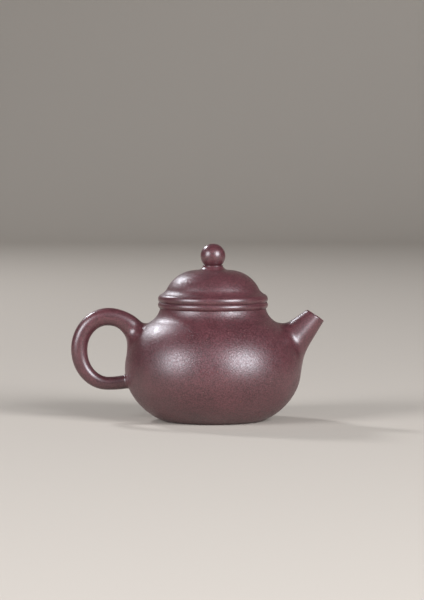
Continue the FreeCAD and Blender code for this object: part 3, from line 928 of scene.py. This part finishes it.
# The lid's dome is a disc of clay beaten over a mould, with a hollow flare above the bead.
# The vent is bored through its middle, and its under side is only scraped.
FLARE_WIDTH = 3.5
FLARE_HEIGHT = 3.2
LID_WALL = 3.0
VENT_RADIUS = 1.1
VENT_EASE = 0.3
COLLAR_RADIUS = 8.4
lid_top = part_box("knob_collar")[0].z / MM
flare_top = (lid_edge - FLARE_WIDTH, lid_rim_top + FLARE_HEIGHT)
crown_height = lid_top - flare_top[1]
crown_run = flare_top[0] - COLLAR_RADIUS
crown_bend = (crown_run**2 + crown_height**2) / (2 * crown_height)
crown_centre = (COLLAR_RADIUS, lid_top - crown_bend)
flare_lean = FLARE_WIDTH * crown_run - FLARE_HEIGHT * (crown_bend - crown_height)
lid_flare_bend = (FLARE_WIDTH**2 + FLARE_HEIGHT**2) * crown_bend / (2 * flare_lean)
lid_flare_centre = (
    flare_top[0] + lid_flare_bend * crown_run / crown_bend,
    flare_top[1] + lid_flare_bend * (crown_bend - crown_height) / crown_bend,
)
lid_ceiling = lid_top - LID_WALL
ceiling_run = flange_inside - COLLAR_RADIUS
ceiling_rise = lid_ceiling - lid_rim_top
ceiling_bend = (ceiling_run**2 + ceiling_rise**2) / (2 * ceiling_rise)
turned(
    "domed_lid",
    [
        Corner(lid_edge, lid_rim_top, LID_EDGE_EASE, lid_flare_centre),
        Corner(*flare_top, SHARP, crown_centre),
        Corner(COLLAR_RADIUS, lid_top, SHARP),
        Corner(VENT_RADIUS, lid_top, JOINT_EASE, raw=True),
        Corner(VENT_RADIUS, lid_ceiling, VENT_EASE, raw=True),
        Corner(COLLAR_RADIUS, lid_ceiling, SHARP, (COLLAR_RADIUS, lid_ceiling - ceiling_bend), True),
        Corner(flange_inside, lid_rim_top, JOINT_EASE, raw=True),
    ],
    "lid",
    "lid_dome",
)

# The collar is a small turned disc between the lid and the knob: a hollow flare below and a fine bead above.
# It is luted to the dome and rubbed smooth, and the vent runs through it.
COLLAR_NECK = 5.1
COLLAR_FLARE = 2.0
COLLAR_BULGE = 0.2
knob_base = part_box("knob")[0].z / MM
bead_start = lid_top + COLLAR_FLARE
collar_reach = COLLAR_RADIUS - COLLAR_NECK
collar_bend = (collar_reach**2 + COLLAR_FLARE**2) / (2 * COLLAR_FLARE)
turned(
    "collar_disc",
    [
        Corner(COLLAR_RADIUS, lid_top, JOINT_EASE, (COLLAR_RADIUS, lid_top + collar_bend)),
        Corner(
            COLLAR_NECK,
            bead_start,
            CREASE_EASE,
            bead_centre((COLLAR_NECK, bead_start), (COLLAR_NECK, knob_base), COLLAR_BULGE),
        ),
        Corner(COLLAR_NECK, knob_base, CREASE_EASE),
        Corner(VENT_RADIUS, knob_base, JOINT_EASE, raw=True),
        Corner(VENT_RADIUS, lid_top, JOINT_EASE, raw=True),
    ],
    "lid",
    "knob_collar",
    skin=rubbed_clay,
)

# The knob is a ball of clay rolled in the palm, set on the collar and pierced from the top for the vent.
# It is rubbed smooth like the collar, and handling keeps it so.
KNOB_VENT_EASE = 0.35
knob_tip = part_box("knob")[1].z / MM
knob_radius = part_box("knob")[1].x / MM
knob_middle = knob_tip - math.sqrt(knob_radius**2 - VENT_RADIUS**2)
knob_foot = math.sqrt(knob_radius**2 - (knob_middle - knob_base) ** 2)
turned(
    "knob_ball",
    [
        Corner(knob_foot, knob_base, JOINT_EASE, (0, knob_middle)),
        Corner(VENT_RADIUS, knob_tip, KNOB_VENT_EASE, raw=True),
        Corner(VENT_RADIUS, knob_base, JOINT_EASE, raw=True),
    ],
    "lid",
    "knob",
    skin=rubbed_clay,
)

# The stage is a sheet of pale matte paper, laid flat under the pot.
# It sweeps up in one bend into a wall behind, so that no corner shows.
FLOOR_COLOUR = (0.56, 0.51, 0.44, 1.0)
PAPER_ROUGHNESS = 0.9
PAPER_SHINE = 0.1
FLOOR_HALF_WIDTH = 4.0
FLOOR_FRONT = -4.0
SWEEP_START = 2.2
SWEEP_BEND = 0.8
WALL_TOP = 3.0
SWEEP_STEPS = 24

sweep = [(FLOOR_FRONT, 0.0)]
for step in range(SWEEP_STEPS + 1):
    angle = math.pi / 2 * step / SWEEP_STEPS
    sweep.append((SWEEP_START + SWEEP_BEND * math.sin(angle), SWEEP_BEND * (1 - math.cos(angle))))
sweep.append((SWEEP_START + SWEEP_BEND, WALL_TOP))
stage_points = [(side * FLOOR_HALF_WIDTH, y, z) for y, z in sweep for side in (-1, 1)]
stage_faces = [[2 * i, 2 * i + 1, 2 * i + 3, 2 * i + 2] for i in range(len(sweep) - 1)]
stage_mesh = bpy.data.meshes.new("studio_sweep")
stage_mesh.from_pydata(stage_points, [], stage_faces)
stage_mesh.polygons.foreach_set("use_smooth", [True] * len(stage_faces))
pale_paper = bpy.data.materials.new("pale_paper")
pale_paper.use_nodes = True
paper_shader = pale_paper.node_tree.nodes["Principled BSDF"]
paper_shader.inputs["Base Color"].default_value = FLOOR_COLOUR
paper_shader.inputs["Roughness"].default_value = PAPER_ROUGHNESS
paper_shader.inputs["Specular IOR Level"].default_value = PAPER_SHINE
stage_mesh.materials.append(pale_paper)
stage = bpy.data.objects.new("studio_sweep", stage_mesh)
bpy.context.scene.collection.objects.link(stage)

# The light is a large softbox on each side of the lens, with a faint wide one above it as a fill.
# A small one high behind, on the handle's side, draws the bright edges of the knob and the handle.
# The room itself is dim and grey.
LAMP_AIM = np.array([0.0, 0.0, 0.045])
LAMP_DISTANCE = 2.2
LAMP_COLOUR = (0.91, 0.93, 1.0)
ROOM_GREY = (0.05, 0.05, 0.055, 1.0)
# Azimuth from the lens and elevation in degrees, length of a side in metres, and power in watts.
SOFTBOXES = {
    "front_left": (-52.0, 21.0, 1.05, 42.0),
    "front_right": (43.0, 22.0, 1.05, 64.0),
    "front_fill": (6.0, 36.0, 1.50, 4.0),
    "back_left": (-142.0, 36.0, 0.30, 20.0),
}
for name, (azimuth, elevation, width, watts) in SOFTBOXES.items():
    lamp = bpy.data.lights.new(name, "AREA")
    lamp.shape = "SQUARE"
    lamp.size = width
    lamp.energy = watts
    lamp.color = LAMP_COLOUR
    box = bpy.data.objects.new(name, lamp)
    turn = math.radians(azimuth)
    lift = math.radians(elevation)
    way = np.array([math.sin(turn) * math.cos(lift), -math.cos(turn) * math.cos(lift), math.sin(lift)])
    box.location = LAMP_AIM + LAMP_DISTANCE * way
    box.rotation_mode = "QUATERNION"
    box.rotation_quaternion = Vector(way).to_track_quat("Z", "Y")
    box.visible_camera = False
    bpy.context.scene.collection.objects.link(box)
world = bpy.data.worlds.new("room")
world.use_nodes = True
world.node_tree.nodes["Background"].inputs["Color"].default_value = ROOM_GREY
world.node_tree.nodes["Background"].inputs["Strength"].default_value = 1.0
bpy.context.scene.world = world
bpy.context.scene.view_settings.view_transform = "Standard"

# The camera has a long lens and stands square to the spout and the handle.
# It is a little higher than the knob, and looks slightly down.
CAMERA_DISTANCE = 1.55
CAMERA_HEIGHT = 0.156
LENS = 181.0
SENSOR_WIDTH = 36.0
CAMERA_AIM = Vector((-0.0005, 0.0, 0.062))
camera_data = bpy.data.cameras.new("camera")
camera_data.lens = LENS
camera_data.sensor_width = SENSOR_WIDTH
camera = bpy.data.objects.new("camera", camera_data)
camera.location = (CAMERA_AIM.x, -CAMERA_DISTANCE, CAMERA_HEIGHT)
camera.rotation_mode = "QUATERNION"
camera.rotation_quaternion = (CAMERA_AIM - camera.location).to_track_quat("-Z", "Y")
bpy.context.scene.collection.objects.link(camera)
bpy.context.scene.camera = camera
